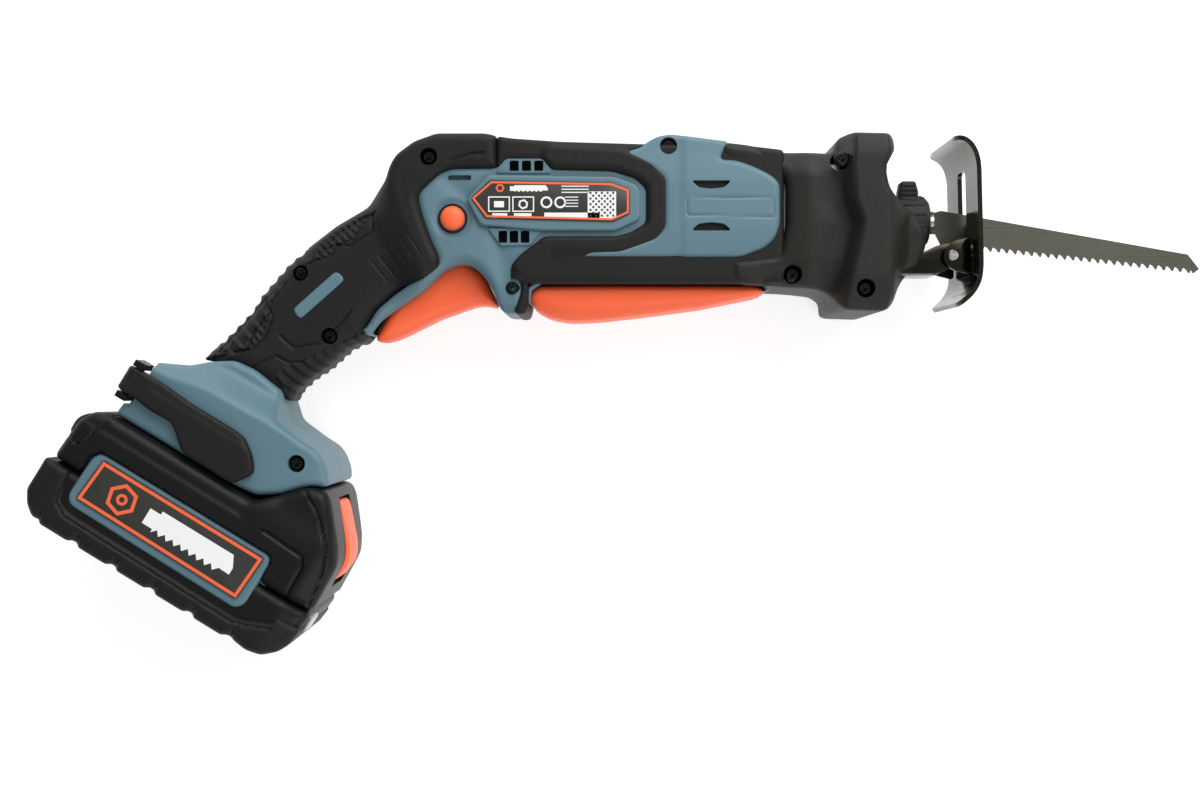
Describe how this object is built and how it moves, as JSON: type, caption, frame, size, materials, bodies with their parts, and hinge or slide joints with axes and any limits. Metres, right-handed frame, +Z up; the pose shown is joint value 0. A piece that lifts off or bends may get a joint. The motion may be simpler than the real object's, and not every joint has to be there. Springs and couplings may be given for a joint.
{
  "type": "reciprocating saw",
  "caption": "Cordless reciprocating saw with slide-in battery, inline grip, sliding trigger, crank-driven blade, pivoting shoe and swing-out hang hook.",
  "frame": {"origin": "centre of the bounding box, on the flat surface that the saw lies on", "axes": "+X along the cutting stroke to the blade tip, +Y toward the top of the tool, +Z up from its left flank to its right flank"},
  "size_m": [0.5028, 0.2208, 0.076],
  "materials": {
    "slate_blue": "satin moulded slate blue nylon",
    "black_rubber": "matt moulded black rubber",
    "black_plastic": "satin moulded black nylon",
    "orange": "satin moulded orange nylon",
    "label_grey": "printed dark grey foil label",
    "clear_lens": "clear moulded lens",
    "steel": "ground steel",
    "black_nickel": "glossy black nickel on pressed steel",
    "blade_steel": "black oxide on spring steel",
    "aluminium": "as cast",
    "bronze": "sintered bronze",
    "copper": "steel stack with copper windings",
    "cell_wrap": "shrink-wrapped cells in a black holder",
    "circuit_board": "green circuit board",
    "red_wire": "red insulation"
  },
  "bodies": {
    "tool": {"housing_right": "slate_blue", "housing_left": "slate_blue", "grip_rubber_right": "black_rubber", "grip_rubber_left": "black_rubber", "body_band_right": "black_rubber", "body_band_left": "black_rubber", "nose_cover_right": "black_plastic", "nose_cover_left": "black_plastic", "front_grip_pad": "orange", "body_label_right": "label_grey", "body_label_left": "label_grey", "motor_can": "steel", "rear_bearing": "steel", "front_bearing": "steel", "gear_case_right": "aluminium", "gear_case_left": "aluminium", "front_bushing": "bronze", "shoe_bracket": "black_nickel", "shoe_pin": "steel", "led_lens": "clear_lens", "trigger_switch": "black_plastic", "trigger_spring": "steel", "controller_board": "circuit_board", "power_lead_red": "red_wire", "power_lead_black": "black_rubber", "terminal_block": "black_plastic", "hook_pin": "steel", "hook_bracket": "steel", "screw_nose_top": "steel", "screw_nose_rear": "steel", "screw_nose_front": "steel", "screw_body_rear": "steel", "screw_post": "steel", "screw_body_front": "steel", "screw_grip_rear": "steel", "screw_grip_front": "steel", "screw_foot": "steel"},
    "rotor": {"motor_rotor": "copper"},
    "crank": {"crank_gear": "steel"},
    "plunger": {"plunger": "steel", "blade": "blade_steel"},
    "clamp_lever": {"blade_clamp_lever": "black_plastic"},
    "shoe": {"shoe": "black_nickel"},
    "trigger": {"trigger": "orange"},
    "lock_off": {"lock_off_button": "orange"},
    "hook": {"hang_hook": "black_plastic"},
    "pack": {"pack_upper": "black_plastic", "pack_lower": "black_plastic", "pack_bumper": "black_rubber", "pack_trim_right": "slate_blue", "pack_trim_left": "slate_blue", "pack_label_right": "label_grey", "pack_label_left": "label_grey", "pack_board": "circuit_board", "cell_row_upper": "cell_wrap", "cell_row_lower": "cell_wrap"},
    "release": {"release_button": "orange"},
    "gauge": {"gauge_button": "clear_lens"}
  },
  "joints": [
    {"name": "rotor_spin", "type": "hinge", "parent": "tool", "child": "rotor", "pos_m": [-0.01209, 0.07494, 0.038], "axis": [1, 0, 0], "continuous": true},
    {"name": "crank_spin", "type": "hinge", "parent": "tool", "child": "crank", "pos_m": [0.06591, 0.07494, 0.038], "axis": [0, 0, 1], "continuous": true},
    {"name": "plunger_stroke", "type": "slide", "parent": "tool", "child": "plunger", "axis": [1, 0, 0], "range_m": [-0.022, 0]},
    {"name": "clamp_lever_turn", "type": "hinge", "parent": "plunger", "child": "clamp_lever", "pos_m": [0.12491, 0.07494, 0.038], "axis": [1, 0, 0], "range_deg": [-40, 0], "stiffness_Nm_per_rad": 0.15},
    {"name": "shoe_pivot", "type": "hinge", "parent": "tool", "child": "shoe", "pos_m": [0.13941, 0.05894, 0.038], "axis": [0, 0, 1], "range_deg": [-8, 10]},
    {"name": "trigger_pull", "type": "slide", "parent": "tool", "child": "trigger", "axis": [-0.6198, 0.7848, 0], "range_m": [0, 0.006], "stiffness_N_per_m": 900, "springref_m": -0.004, "deforming": ["trigger_spring"]},
    {"name": "lock_off_push", "type": "slide", "parent": "tool", "child": "lock_off", "axis": [0, 0, 1], "range_m": [-0.003, 0]},
    {"name": "hook_swing", "type": "hinge", "parent": "tool", "child": "hook", "pos_m": [-0.2072, 0.0049, 0.0717], "axis": [0.5219, 0.853, 0], "range_deg": [-90, 0]},
    {"name": "battery_slide", "type": "slide", "parent": "tool", "child": "pack", "axis": [0.853, -0.5219, 0], "range_m": [0, 0.11]},
    {"name": "release_press", "type": "slide", "parent": "pack", "child": "release", "axis": [-0.9039, -0.4277, 0], "range_m": [0, 0.003], "stiffness_N_per_m": 1500, "springref_m": -0.002},
    {"name": "gauge_press", "type": "slide", "parent": "pack", "child": "gauge", "axis": [-0.853, 0.5219, 0], "range_m": [0, 0.0008], "stiffness_N_per_m": 3000, "springref_m": -0.0005}
  ],
  "couplings": [
    {"joint": "rotor_spin", "follows": "crank_spin", "ratio": -4}
  ]
}
